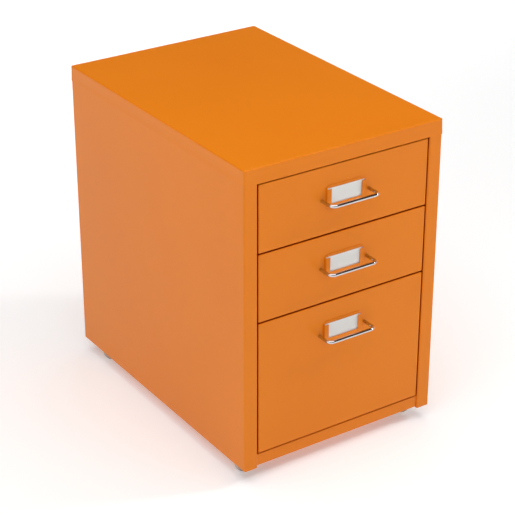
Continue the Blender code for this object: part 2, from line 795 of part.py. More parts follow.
def main():
    make_top_cap()
    make_side_panel("left_side_panel", -1)
    make_side_panel("right_side_panel", 1)
    make_back_panel()
    make_base_panel()
    for level in DRAWER_EDGES:
        make_drawer(level)
    for side_name, side in (("left", -1), ("right", 1)):
        for end_name, end in (("front", -1), ("rear", 1)):
            make_castor(f"{end_name}_{side_name}", side, end)


main()
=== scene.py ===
"""Looks for the sheet-steel filing cabinet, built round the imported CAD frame.

Each piece takes the place of one CAD node, at the same place and size, with finer bends, rounded
edges and its own material. Metres, +Z up. The drawers open towards -Y.
"""

import json
import math

import bmesh
import bpy
from mathutils import Matrix, Vector


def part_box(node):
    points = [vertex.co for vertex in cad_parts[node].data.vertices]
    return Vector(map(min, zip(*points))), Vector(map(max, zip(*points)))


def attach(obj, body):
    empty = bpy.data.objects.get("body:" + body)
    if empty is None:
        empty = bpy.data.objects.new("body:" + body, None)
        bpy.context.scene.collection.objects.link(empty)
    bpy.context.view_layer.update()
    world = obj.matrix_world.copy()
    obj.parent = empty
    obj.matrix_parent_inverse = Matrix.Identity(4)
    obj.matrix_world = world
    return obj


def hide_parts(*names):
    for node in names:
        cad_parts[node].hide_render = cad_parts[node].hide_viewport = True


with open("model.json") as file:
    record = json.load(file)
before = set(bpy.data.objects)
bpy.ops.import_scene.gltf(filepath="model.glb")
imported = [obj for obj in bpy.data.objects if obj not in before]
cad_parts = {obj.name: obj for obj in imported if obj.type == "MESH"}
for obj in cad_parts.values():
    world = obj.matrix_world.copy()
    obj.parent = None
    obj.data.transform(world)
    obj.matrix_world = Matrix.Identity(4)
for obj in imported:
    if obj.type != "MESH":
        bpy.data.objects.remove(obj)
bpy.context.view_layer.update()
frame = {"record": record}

BODIES = frame["record"]["behaviour"]["bodies"]
BODY_OF = {node: body for body, nodes in BODIES.items() for node in nodes}
LEVELS = ("bottom", "middle", "top")
SIDES = (("left", -1), ("right", 1))
ENDS = ("front", "rear")

# Sheet
SHEET = 0.001
BEND = 0.0018  # outside radius of a bend
BEND_STEPS = 6
FOLD_ANGLE = math.radians(30)  # a fold turns by more than this
CUT_EDGE = 0.00022  # rounding of a sheet's cut edge under its coating
CUT_EDGE_STEPS = 2
CUT_EDGE_ANGLE = math.radians(50)  # a cut edge turns by more than this, and a rounded bend by less
SHARP = math.radians(38)  # an edge that turns by more than this is shaded as sharp
GAP = 0.0003  # between pieces that touch
SAME = 1e-6  # two places nearer than this are the same
ALONG = 0.9  # the least dot product of two directions that are the same

# Steps round a circle
ROUND = 64
SMALL_ROUND = 32
WIRE_ROUND = 28

# Carcass
CAP_DRAFT = 0.0016  # how far the cap's side flanges lean out at the foot
STILE_RETURN = 0.012
REAR_FLANGE = 0.016

# Runners
CHANNEL_DEPTH = 0.0085
BRACKET_LONG = 0.026
BRACKET_INSET = 0.040
BRACKET_TALL = 0.022

# Drawer boxes
HEM_OUT = 0.0026  # how far the rolled edge stands out from the box's side
HEM_TALL = 0.0070
HEM_INSET = 0.012  # from either end of the side
HEM_BEND = 0.0010

# Handles
HANDLE_BEND = 0.009
HANDLE_BEND_STEPS = 14

# Screws
SCREW_HOLE = 0.0018  # radius
SCREW_TIP = 0.0006  # height of the cone at the end
SCREW_TIP_SHARE = 0.6  # its small end, as a share of the shank's radius
SCREW_NECK = 0.0004  # plain shank under the head
SCREW_PITCH = 0.0008
THREAD_ROOT = 0.82  # share of the shank's radius
THREAD_CREST_AT = 0.2  # share of the pitch
THREAD_ROOT_AT = 0.6
SCREW_HEAD = 0.0022  # height
SCREW_HEAD_RIM = 0.25  # share of the head's height that is below its dome
SCREW_DOME_ARC = (15, 90)  # degrees
SCREW_DOME_STEPS = 5
SCREW_CROSS = 0.0034  # length of the recess
SCREW_CROSS_DEEP = 0.6  # share of the head's height

# Label holders and cards
HOLDER_SHEET = 0.0008
HOLDER_CORNER = 0.006
HOLDER_LIP = 0.008
HOLDER_DROP = 0.0055  # how far the lips stop below the top of the back plate
HOLDER_BEND = 0.0011
HOLDER_WINDOW_CORNER = 0.0006
HOLDER_CUT_EDGE = 0.00012
CARD_CORNER = 0.001
CARD_BOW = 0.0004
CARD_STRIPS = 24
SMALL_STEPS = 4  # in a small round corner

# Castors
PLATE_THICK = 0.002
PLATE_CORNER = 0.0035
PLATE_HOLE = 0.0019  # radius
PLATE_HOLE_INSET = 0.0050
RACE_RADIUS = 0.0125
RACE_TALL = 0.003
RACE_ROUND = 0.0012
KINGPIN_RADIUS = 0.003
KINGPIN_HEAD_RADIUS = 0.0046
KINGPIN_HEAD_TALL = 0.0018
FORK_SHEET = 0.0015
FORK_BEND = 0.0022
FORK_SHOULDER = 0.0060  # how far below its top the arms begin to narrow
FORK_FOOT_RADIUS = 0.0062
FORK_FOOT_ARC = (15, -195)  # degrees, round the axle
FORK_FOOT_STEPS = 24
AXLE_RADIUS = 0.0025
AXLE_HEAD_TALL = 0.0010

# Wheel faces. Depths are below the sides of the wheel, and insets are from its tread.
TREAD_ROUND = 0.0016
HUB_RADIUS = 0.0050
DISH_RADIUS = 0.0060  # where the dish begins, beside the hub
DISH_DEPTH = 0.0016
RIM_FOOT_INSET = 0.0052
RIM_FOOT_DEPTH = 0.0018
RIM_TOP_INSET = 0.0042
RIM_TOP_DEPTH = 0.0002
RIM_EDGE_INSET = 0.0036

# Stage. Angles in degrees.
FLOOR_HALF = 7
FLOOR_SQUARES = 40
FLOOR_GLOW = 0.31  # a light table, lit from below as well
WORLD_PALE = 0.80  # round the horizon
WORLD_DARK = 0.04  # above
WORLD_FADE = (0.05, 0.19)  # the heights between which it darkens, 1 being straight up
CAMERA_PLACE = (-1.5193, -2.2864, 1.6521)
CAMERA_TILT = 63.26
CAMERA_TURN = -33.70
CAMERA_LENS = 118.3
CAMERA_SENSOR = 36
LIGHTS = (  # name, place, what it points at, size, watts
    ("softbox", (-0.5, -0.7, 3.4), (-0.5, -0.7, 0), (4.4, 4.4), 123),
    ("key", (2.6, -1.27, 2.05), (0, -0.3, 0.45), (0.40, 0.40), 27),
    ("left_fill", (-3.4, -0.9, 2.3), (0, 0, 0.4), (2.4, 1.8), 24),
)
FLOOR_LIGHT_TALL = 3.0
FLOOR_LIGHT_SPREAD = 60
FLOOR_LIGHTS = (  # name, x, y, size, watts
    ("floor_behind", 2.2, 3.9, (6.0, 4.6), 72),
    ("floor_left", -5.0, 1.0, (4.6, 8.0), 65),
    ("floor_right", 5.0, -2.4, (4.6, 7.0), 100),
    ("floor_front", -0.6, -5.4, (6.0, 4.6), 110),
)


# Paths and outlines


def arc(radius, start, end, steps=6):
    """(cos, sin) points of an arc, in degrees."""
    turns = [math.radians(start + (end - start) * i / steps) for i in range(steps + 1)]
    return [(radius * math.cos(turn), radius * math.sin(turn)) for turn in turns]


def circle_turns(steps):
    """Even angles round a circle."""
    return [2 * math.pi * i / steps for i in range(steps)]


def arc_points(corner, before, after, radius, steps):
    """The rounded corner of a path, as points."""
    a = (before - corner).normalized()
    b = (after - corner).normalized()
    half = a.angle(b) / 2
    back = radius / math.tan(half)
    middle = corner + (a + b).normalized() * (radius / math.sin(half))
    start = (corner + a * back - middle).normalized()
    end = (corner + b * back - middle).normalized()
    return [middle + start.slerp(end, i / steps) * radius for i in range(steps + 1)]


def rounded(path, radius, steps):
    """The path with each inner corner rounded."""
    points = [Vector(p) for p in path]
    out = [points[0]]
    for before, corner, after in zip(points, points[1:], points[2:]):
        out += arc_points(corner, before, after, radius, steps)
    return out + [points[-1]]


def on_side(path, side):
    """A path drawn for the right side, or its mirror image for the left with the same side out."""
    return path if side > 0 else [(-x, y) for x, y in reversed(path)]


def rounded_rectangle(low, high, radius, steps=8):
    """(x, z) points round a rectangle with round corners."""
    points = []
    for sx, sz, start in ((1, 1, 0), (-1, 1, 90), (-1, -1, 180), (1, -1, 270)):
        x = (high[0] if sx > 0 else low[0]) - sx * radius
        z = (high[1] if sz > 0 else low[1]) - sz * radius
        points += [(x + across, z + up) for across, up in arc(radius, start, start + 90, steps)]
    return points


# Meshes


def object_from(bm, name):
    """The mesh as an object in the scene."""
    mesh = bpy.data.meshes.new(name)
    bm.to_mesh(mesh)
    bm.free()
    obj = bpy.data.objects.new(name, mesh)
    bpy.context.scene.collection.objects.link(obj)
    return obj


def push(bm, extruded, way):
    """Moves the vertices that an extrusion made."""
    verts = [item for item in extruded if isinstance(item, bmesh.types.BMVert)]
    bmesh.ops.translate(bm, verts=verts, vec=way)


def slice_at(bm, place, normal):
    """Adds vertices and edges where a plane crosses the mesh."""
    everything = bm.verts[:] + bm.edges[:] + bm.faces[:]
    bmesh.ops.bisect_plane(bm, geom=everything, plane_co=place, plane_no=normal)


def stand(bm, place, along):
    """Turns a mesh made about +Z to lie along that way, and moves it to its place."""
    turn = Vector((0, 0, 1)).rotation_difference(Vector(along)).to_matrix().to_4x4()
    bm.transform(Matrix.Translation(place) @ turn)


def box_bmesh(low, high):
    bm = bmesh.new()
    bmesh.ops.create_cube(bm, size=1)
    low, high = Vector(low), Vector(high)
    for vert in bm.verts:
        vert.co = Vector(low[i] if vert.co[i] < 0 else high[i] for i in range(3))
    bm.normal_update()
    return bm


def block(low, high):
    return object_from(box_bmesh(low, high), "block")


def rod(radius, place, along, length, steps=SMALL_ROUND):
    """A cylinder of that length, its middle at place."""
    bm = bmesh.new()
    bmesh.ops.create_cone(
        bm, cap_ends=True, segments=steps, radius1=radius, radius2=radius, depth=length
    )
    stand(bm, place, along)
    return object_from(bm, "rod")


def open_tray(name, low, high, *open_towards):
    """The skin of a box without the faces on its open sides."""
    bm = box_bmesh(low, high)
    ways = [Vector(way) for way in open_towards]
    gone = [face for face in bm.faces if any(face.normal.dot(way) > ALONG for way in ways)]
    bmesh.ops.delete(bm, geom=gone, context="FACES")
    return object_from(bm, name)


def folded(name, path, start, end, along):
    """A skin drawn along one axis from start to end. The path is on the other two axes, and its
    outside is on its right, seen from the far end of that axis, or on its left when drawn along Y."""
    axis = "XYZ".index(along)
    bm = bmesh.new()
    verts = []
    for point in rounded([Vector(p).to_3d() for p in path], BEND, BEND_STEPS):
        values = [point.x, point.y]
        values.insert(axis, start)
        verts.append(bm.verts.new(values))
    edges = [bm.edges.new(pair) for pair in zip(verts, verts[1:])]
    way = Vector((0, 0, 0))
    way[axis] = end - start
    push(bm, bmesh.ops.extrude_edge_only(bm, edges=edges)["geom"], way)
    bm.normal_update()
    return object_from(bm, name)


def turned(name, profile, place, along=(0, 0, 1), steps=ROUND):
    """Turns (radius, height) points about an axis through place. The profile closes on itself."""
    bm = bmesh.new()
    rings = []
    for radius, height in profile:
        if radius < SAME:
            rings.append([bm.verts.new((0, 0, height))])
            continue
        ring = [(radius * math.cos(t), radius * math.sin(t), height) for t in circle_turns(steps)]
        rings.append([bm.verts.new(point) for point in ring])
    bored = profile[0][0] > SAME
    pairs = list(zip(rings, rings[1:])) + ([(rings[-1], rings[0])] if bored else [])
    for upper, lower in pairs:
        for i in range(steps):
            j = (i + 1) % steps
            corners = [upper[i % len(upper)], lower[i % len(lower)]]
            corners += [lower[j % len(lower)], upper[j % len(upper)]]
            bm.faces.new(list(dict.fromkeys(corners)))
    bmesh.ops.recalc_face_normals(bm, faces=bm.faces)
    stand(bm, place, along)
    return object_from(bm, name)


def wire(name, path, radius):
    """A round wire along a level path, with flat ends."""
    bm = bmesh.new()
    rings = []
    up = Vector((0, 0, 1))
    for i, point in enumerate(path):
        ahead = (path[min(i + 1, len(path) - 1)] - path[max(i - 1, 0)]).normalized()
        across = ahead.cross(up).normalized()
        ways = [across * math.cos(t) + up * math.sin(t) for t in circle_turns(WIRE_ROUND)]
        rings.append([bm.verts.new(point + way * radius) for way in ways])
    for first, second in zip(rings, rings[1:]):
        for i in range(WIRE_ROUND):
            j = (i + 1) % WIRE_ROUND
            bm.faces.new((first[i], first[j], second[j], second[i]))
    bm.faces.new(rings[0])
    bm.faces.new(rings[-1])
    bmesh.ops.recalc_face_normals(bm, faces=bm.faces)
    return object_from(bm, name)


def outline_slab(name, outline, start, end):
    """A flat outline of (x, z) points given its thickness along Y."""
    bm = bmesh.new()
    face = bm.faces.new([bm.verts.new((x, start, z)) for x, z in outline])
    extruded = bmesh.ops.extrude_face_region(bm, geom=[face])["geom"]
    push(bm, extruded, (0, end - start, 0))
    bmesh.ops.recalc_face_normals(bm, faces=bm.faces)
    return object_from(bm, name)


# Changes to finished meshes


def apply_modifiers(obj):
    """Replaces the mesh by the one its modifiers make."""
    bpy.context.view_layer.update()
    graph = bpy.context.evaluated_depsgraph_get()
    made = bpy.data.meshes.new_from_object(obj.evaluated_get(graph))
    old = obj.data
    obj.modifiers.clear()
    obj.data = made
    bpy.data.meshes.remove(old)


def bevel(obj, width, steps, angle=FOLD_ANGLE):
    """Rounds every edge that turns by more than the angle."""
    modifier = obj.modifiers.new("Bevel", "BEVEL")
    modifier.width = width
    modifier.segments = steps
    modifier.limit_method = "ANGLE"
    modifier.angle_limit = angle
    modifier.use_clamp_overlap = True
    apply_modifiers(obj)


def thicken(obj, thickness=SHEET):
    """Gives a sheet its thickness, inwards from the outside it is modelled by."""
    modifier = obj.modifiers.new("Thickness", "SOLIDIFY")
    modifier.thickness = thickness
    modifier.offset = -1
    modifier.use_even_offset = True
    modifier.use_quality_normals = True
    apply_modifiers(obj)


def cut(obj, cutter, operation="DIFFERENCE"):
    """Cuts the cutter out, joins it on or keeps what both share, and removes the cutter."""
    modifier = obj.modifiers.new("Cut", "BOOLEAN")
    modifier.object = cutter
    modifier.operation = operation
    modifier.solver = "EXACT"
    apply_modifiers(obj)
    bpy.data.objects.remove(cutter, do_unlink=True)


def smooth(obj):
    """Smooth shading that keeps flats flat and edges crisp."""
    obj.data.shade_smooth()
    obj.data.set_sharp_from_angle(angle=SHARP)
    weighted = obj.modifiers.new("Weighted normals", "WEIGHTED_NORMAL")
    weighted.keep_sharp = True
    weighted.weight = 80  # over the default 50, so that large faces count for more


# Materials


class Nodes:
    """A short way to write a node material."""

    def __init__(self, name):
        self.material = bpy.data.materials.new(name)
        self.material.use_nodes = True
        self.tree = self.material.node_tree
        self.shader = self.tree.nodes["Principled BSDF"]
        self.place = self.add("ShaderNodeTexCoord").outputs["Object"]

    def add(self, kind, **values):
        node = self.tree.nodes.new(kind)
        for key, value in values.items():
            setattr(node, key, value)
        return node

    def link(self, start, end):
        self.tree.links.new(start, end)

    def drive(self, name, output):
        """Links an output to the shader's socket of that name."""
        self.link(output, self.shader.inputs[name])

    def noise(self, scale, detail, rough=0.5):
        node = self.add("ShaderNodeTexNoise")
        node.inputs["Scale"].default_value = scale
        node.inputs["Detail"].default_value = detail
        node.inputs["Roughness"].default_value = rough
        self.link(self.place, node.inputs["Vector"])
        return node.outputs["Fac"]

    def spread(self, value, low, high, start=0.3, end=0.7):
        """Maps a noise value to a range."""
        node = self.add("ShaderNodeMapRange")
        node.inputs["From Min"].default_value = start
        node.inputs["From Max"].default_value = end
        node.inputs["To Min"].default_value = low
        node.inputs["To Max"].default_value = high
        self.link(value, node.inputs["Value"])
        return node.outputs["Result"]

    def blend(self, factor, first, second):
        """A colour between two, by the factor."""
        node = self.add("ShaderNodeMix", data_type="RGBA")
        self.link(factor, node.inputs["Factor"])
        for socket, colour in ((node.inputs["A"], first), (node.inputs["B"], second)):
            socket.default_value = (*colour, 1)
        return node.outputs["Result"]

    def bump(self, value, strength, distance):
        node = self.add("ShaderNodeBump")
        node.inputs["Strength"].default_value = strength
        node.inputs["Distance"].default_value = distance
        self.link(value, node.inputs["Height"])
        return node.outputs["Normal"]


def paint_material(name, first, second):
    """Semi-gloss powder coat: even in colour, with a fine orange peel."""
    m = Nodes(name)
    drift = m.spread(m.noise(scale=3.0, detail=3), low=0, high=1)
    sheen = m.spread(m.noise(scale=9.0, detail=4), low=0.295, high=0.315)
    peel = m.bump(m.noise(scale=480.0, detail=1), strength=0.10, distance=0.00008)
    m.drive("Base Color", m.blend(drift, first, second))
    m.drive("Roughness", sheen)
    m.drive("Normal", peel)
    m.shader.inputs["IOR"].default_value = 1.5
    m.shader.inputs["Specular IOR Level"].default_value = 0.22
    return m.material


def chrome_material():
    """Polished chrome, with the faint haze and waviness of plated wire."""
    m = Nodes("polished_chrome")
    haze = m.spread(m.noise(scale=60.0, detail=4), low=0.04, high=0.10)
    waves = m.bump(m.noise(scale=400.0, detail=2), strength=0.02, distance=0.0002)
    m.shader.inputs["Base Color"].default_value = (0.60, 0.60, 0.61, 1)
    m.shader.inputs["Metallic"].default_value = 1
    m.drive("Roughness", haze)
    m.drive("Normal", waves)
    return m.material


def zinc_material():
    """Zinc plate: a dull bright metal with a faint cloudy pattern."""
    m = Nodes("zinc_plate")
    cloud = m.spread(m.noise(scale=45.0, detail=5, rough=0.6), low=0, high=1)
    haze = m.spread(m.noise(scale=120.0, detail=4), low=0.26, high=0.44)
    grain = m.bump(m.noise(scale=900.0, detail=2), strength=0.05, distance=0.0002)
    m.drive("Base Color", m.blend(cloud, (0.52, 0.53, 0.55), (0.66, 0.67, 0.69)))
    m.shader.inputs["Metallic"].default_value = 1
    m.drive("Roughness", haze)
    m.drive("Normal", grain)
    return m.material


def card_material():
    """Uncoated card: off-white, with fibres just visible."""
    m = Nodes("label_card")
    fibre = m.spread(m.noise(scale=1400.0, detail=4, rough=0.7), low=0, high=1)
    tooth = m.bump(m.noise(scale=1800.0, detail=4, rough=0.7), strength=0.12, distance=0.0002)
    m.drive("Base Color", m.blend(fibre, (0.78, 0.78, 0.75), (0.84, 0.84, 0.82)))
    m.shader.inputs["Roughness"].default_value = 0.85
    m.drive("Normal", tooth)
    return m.material


def wheel_material():
    """Moulded grey nylon, a little dusty."""
    m = Nodes("grey_nylon")
    dust = m.spread(m.noise(scale=160.0, detail=4, rough=0.6), low=0, high=1)
    wear = m.spread(m.noise(scale=300.0, detail=2), low=0.42, high=0.58)
    grain = m.bump(m.noise(scale=1200.0, detail=2), strength=0.08, distance=0.0002)
    m.drive("Base Color", m.blend(dust, (0.40, 0.36, 0.33), (0.56, 0.50, 0.46)))
    m.drive("Roughness", wear)
    m.drive("Normal", grain)
    return m.material


def floor_material():
    """Matt white, glowing a little."""
    m = Nodes("studio_floor")
    drift = m.noise(scale=2.0, detail=2)
    m.drive("Base Color", m.blend(drift, (0.84, 0.84, 0.84), (0.86, 0.86, 0.86)))
    m.shader.inputs["Roughness"].default_value = 0.9
    m.shader.inputs["Specular IOR Level"].default_value = 0.1
    m.shader.inputs["Emission Color"].default_value = (1, 1, 1, 1)
    m.shader.inputs["Emission Strength"].default_value = FLOOR_GLOW
    return m.material


PAINT = paint_material("orange_powder_coat", (0.800, 0.208, 0.0035), (0.835, 0.226, 0.0045))
# A darker, redder copy of the paint: painted shade for the returns seen in the gaps between the
# pieces.
GAP_SHADE_PAINT = paint_material("painted_gap_shade", (0.500, 0.030, 0.0015), (0.530, 0.034, 0.0020))
CHROME = chrome_material()
ZINC = zinc_material()
CARD = card_material()
NYLON = wheel_material()


# Finishing a piece


def stands_for(obj, node, material):
    """Puts a finished piece in the place of its CAD node."""
    obj.data.materials.clear()
    obj.data.materials.append(material)
    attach(obj, BODY_OF[node])
    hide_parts(node)


def painted(obj, node):
    """Finishes a piece of painted sheet."""
    bevel(obj, CUT_EDGE, CUT_EDGE_STEPS, CUT_EDGE_ANGLE)
    smooth(obj)
    stands_for(obj, node, PAINT)


def steel(obj, node):
    """Finishes a piece of plated sheet."""
    bevel(obj, CUT_EDGE, CUT_EDGE_STEPS, CUT_EDGE_ANGLE)
    smooth(obj)
    stands_for(obj, node, ZINC)


def paint_gap_shade(obj, near, is_recess):
    """Paints shade into the gaps: the sideways faces of the returns behind the front get the darker
    copy of the paint.
    """
    obj.data.materials.append(GAP_SHADE_PAINT)
    for polygon in obj.data.polygons:
        middle = polygon.center
        behind = near + BEND < middle.y < near + STILE_RETURN
        sideways = abs(polygon.normal.y) < 0.5
        if behind and sideways and is_recess(middle):
            polygon.material_index = 1


# Carcass


def inner_and_outer(low, high):
    """How far the two sides of a box are from the cabinet's middle."""
    return sorted((abs(low.x), abs(high.x)))


def make_top_cap():
    """A lid folded down on all four sides."""
    low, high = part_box("top_cap")
    cap = open_tray("top_cap_sheet", low, high, (0, 0, -1))
    for vert in cap.data.vertices:
        if vert.co.z > (low.z + high.z) / 2:
            vert.co.x -= math.copysign(CAP_DRAFT, vert.co.x)
    bevel(cap, BEND, BEND_STEPS)
    thicken(cap)
    painted(cap, "top_cap")


def make_side_panel(name, side):
    """The side, its front stile with the return behind it, and its rear flange, from one sheet."""
    node = f"{name}_side_panel"
    low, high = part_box(node)
    inner, outer = inner_and_outer(low, high)
    path = [
        (inner, low.y + STILE_RETURN),
        (inner, low.y),
        (outer, low.y),
        (outer, high.y),
        (outer - REAR_FLANGE, high.y),
    ]
    panel = folded(f"{node}_sheet", on_side(path, side), low.z, high.z, "Z")
    thicken(panel)
    painted(panel, node)
    # Painted shade on the stile's return, in the gap beside the drawer fronts.
    paint_gap_shade(panel, low.y, lambda middle: abs(middle.x) < inner + BEND)


def make_back_panel():
    """A sheet with a flange forwards on each side."""
    low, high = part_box("back_panel")
    path = [(high.x, low.y), (high.x, high.y), (low.x, high.y), (low.x, low.y)]
    panel = folded("back_panel_sheet", path, low.z, high.z, "Z")
    thicken(panel)
    painted(panel, "back_panel")


def make_base_panel():
    """A tray upside down, notched at its front corners to clear the stiles."""
    low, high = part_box("base_panel")
    base = open_tray("base_panel_sheet", low, high, (0, 0, -1))
    bevel(base, BEND, BEND_STEPS)
    thicken(base)
    stile_low, stile_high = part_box("left_side_panel")
    for side in (-1, 1):
        near = side * (abs(stile_high.x) - GAP)
        far = side * (high.x + SHEET)
        notch = block(
            (min(near, far), low.y - BEND, low.z - SHEET),
            (max(near, far), stile_low.y + STILE_RETURN + GAP, high.z + SHEET),
        )
        cut(base, notch)
    painted(base, "base_panel")
    # Painted shade on the base's top flange, in the gap under the bottom drawer.
    paint_gap_shade(base, low.y, lambda middle: middle.z > high.z - BEND)


# Runners


def channel_skin(name, low, high, side, open_outwards):
    """The skin of a C section along Y. Its web is on the far side from its opening."""
    web, lips = (low.x, high.x) if (side > 0) == open_outwards else (high.x, low.x)
    path = [(lips, low.z), (web, low.z), (web, high.z), (lips, high.z)]
    if web > lips:
        path.reverse()
    return folded(name, path, low.y, high.y, "Y")


def make_drawer_rail(level, side_name, side):
    """The rail on a drawer box's side, open outwards."""
    node = f"{level}_drawer_rail_{side_name}"
    low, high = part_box(node)
    rail = channel_skin(f"{node}_steel", low, high, side, True)
    thicken(rail)
    steel(rail, node)


def make_runner(level, side_name, side):
    """The fixed channel, with a bracket near each end that reaches the side panel."""
    node = f"{level}_runner_{side_name}"
    low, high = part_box(node)
    inner, face = inner_and_outer(low, high)
    outer = inner + CHANNEL_DEPTH
    ends = sorted((side * inner, side * outer))
    channel_low = Vector((ends[0], low.y, low.z))
    channel_high = Vector((ends[1], high.y, high.z))
    runner = channel_skin(f"{node}_steel", channel_low, channel_high, side, False)
    thicken(runner)
    middle = (low.z + high.z) / 2
    for start in (low.y + BRACKET_INSET, high.y - BRACKET_INSET - BRACKET_LONG):
        path = [
            (outer - SHEET / 2, start),
            (face, start),
            (face, start + BRACKET_LONG),
            (outer - SHEET / 2, start + BRACKET_LONG),
        ]
        foot, head = middle - BRACKET_TALL / 2, middle + BRACKET_TALL / 2
        bracket = folded("bracket", on_side(path, side), foot, head, "Z")
        thicken(bracket)
        cut(runner, bracket, "UNION")
    steel(runner, node)


# Drawers


def middle_of(node):
    low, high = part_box(node)
    return (low + high) / 2


def make_front(level):
    """The folded front, with a hole behind each leg of the handle."""
    node = f"{level}_drawer_front"
    low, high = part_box(node)
    front = open_tray(f"{node}_sheet", low, high, (0, 1, 0))
    bevel(front, BEND, BEND_STEPS)
    thicken(front)
    for side_name, _ in SIDES:
        screw = middle_of(f"{level}_drawer_screw_{side_name}")
        cut(front, rod(SCREW_HOLE, (screw.x, low.y, screw.z), (0, 1, 0), 4 * SHEET))
    painted(front, node)
    # Painted shade on the front's own returns, seen in the gaps round it.
    paint_gap_shade(front, low.y, lambda middle: True)


def edge_way(edge):
    return (edge.verts[1].co - edge.verts[0].co).normalized()


def is_hem_edge(edge, side, low, high):
    """Whether the edge is the middle stretch of a side's top edge."""
    x = high.x if side > 0 else low.x
    places = [vert.co for vert in edge.verts]
    at_side = all(abs(place.x - x) < SAME and abs(place.z - high.z) < SAME for place in places)
    margin = HEM_INSET / 2
    inside = all(low.y + margin < place.y < high.y - margin for place in places)
    return at_side and inside


def roll_edge(bm, side, low, high):
    """Draws the middle stretch of a side's top edge outwards, then down."""
    hem = [edge for edge in bm.edges if is_hem_edge(edge, side, low, high)]
    for way in ((side * HEM_OUT, 0, 0), (0, 0, -HEM_TALL)):
        extruded = bmesh.ops.extrude_edge_only(bm, edges=hem)["geom"]
        push(bm, extruded, way)
        edges = [item for item in extruded if isinstance(item, bmesh.types.BMEdge)]
        hem = [edge for edge in edges if edge.is_boundary and abs(edge_way(edge).y) > ALONG]


def make_box(level):
    """The folded box, with the top edge of each side rolled over outwards."""
    node = f"{level}_drawer_box"
    low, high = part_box(node)
    bm = box_bmesh(low, high)
    lid = [face for face in bm.faces if face.normal.z > ALONG]
    bmesh.ops.delete(bm, geom=lid, context="FACES")
    for y in (low.y + HEM_INSET, high.y - HEM_INSET):
        slice_at(bm, (0, y, 0), (0, 1, 0))
    for side in (-1, 1):
        roll_edge(bm, side, low, high)
    bmesh.ops.recalc_face_normals(bm, faces=bm.faces)
    floor = min(bm.faces, key=lambda face: face.calc_center_median().z)
    if floor.normal.z > 0:
        bmesh.ops.reverse_faces(bm, faces=bm.faces)
    box = object_from(bm, f"{node}_sheet")
    bevel(box, HEM_BEND, BEND_STEPS)
    thicken(box)
    painted(box, node)


def make_handle(level):
    """A wire bent to a U, ending on the drawer front."""
    node = f"{level}_drawer_handle"
    low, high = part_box(node)
    radius = (high.z - low.z) / 2
    middle = (low.z + high.z) / 2
    path = [
        Vector((low.x + radius, high.y, middle)),
        Vector((low.x + radius, low.y + radius, middle)),
        Vector((high.x - radius, low.y + radius, middle)),
        Vector((high.x - radius, high.y, middle)),
    ]
    handle = wire(f"{node}_wire", rounded(path, HANDLE_BEND, HANDLE_BEND_STEPS), radius)
    for side_name, _ in SIDES:
        screw_low, screw_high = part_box(f"{level}_drawer_screw_{side_name}")
        screw = (screw_low + screw_high) / 2
        depth = 2 * (high.y - screw_low.y + GAP)
        cut(handle, rod(SCREW_HOLE, (screw.x, high.y, screw.z), (0, 1, 0), depth))
    smooth(handle)
    stands_for(handle, node, CHROME)


def make_screw(level, side_name):
    """A pan-head screw with a cross recess, driven from inside the drawer front."""
    node = f"{level}_drawer_screw_{side_name}"
    low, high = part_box(node)
    centre = (low + high) / 2
    head = (high.x - low.x) / 2
    length = high.y - low.y
    shank = SCREW_HOLE - GAP
    neck = length - SCREW_HEAD
    root = shank * THREAD_ROOT
    profile = [(0, 0), (shank * SCREW_TIP_SHARE, 0), (shank, SCREW_TIP)]
    for i in range(int((neck - 2 * SCREW_TIP) / SCREW_PITCH)):
        start = SCREW_TIP + i * SCREW_PITCH
        profile.append((shank, start + SCREW_PITCH * THREAD_CREST_AT))
        profile.append((root, start + SCREW_PITCH * THREAD_ROOT_AT))
    profile += [(shank, neck - SCREW_NECK), (shank, neck), (head, neck)]
    for x, y in arc(1, *SCREW_DOME_ARC, SCREW_DOME_STEPS)[:-1]:
        tall = SCREW_HEAD * (SCREW_HEAD_RIM + (1 - SCREW_HEAD_RIM) * y)
        profile.append((head * x, neck + tall))
    profile.append((0, length))
    place = (centre.x, low.y, centre.z)
    screw = turned(f"{node}_steel", profile, place, (0, 1, 0), SMALL_ROUND)
    top = Vector((centre.x, high.y, centre.z))
    deep = Vector((0, SCREW_HEAD * SCREW_CROSS_DEEP, 0))
    for wide, tall in ((SCREW_CROSS, SCREW_CROSS / 4), (SCREW_CROSS / 4, SCREW_CROSS)):
        half = Vector((wide / 2, 0, tall / 2))
        cut(screw, block(top - half - deep, top + half + Vector((0, SHEET, 0))))
    smooth(screw)
    stands_for(screw, node, ZINC)


def round_front_edges(obj, y, width):
    """Rounds the edges round the front face, the one at that y."""
    bm = bmesh.new()
    bm.from_mesh(obj.data)
    front = [edge for edge in bm.edges if all(abs(vert.co.y - y) < SAME for vert in edge.verts)]
    bmesh.ops.bevel(
        bm,
        geom=front,
        offset=width,
        segments=SMALL_STEPS,
        profile=0.5,
        affect="EDGES",
        clamp_overlap=True,
    )
    bm.to_mesh(obj.data)
    bm.free()


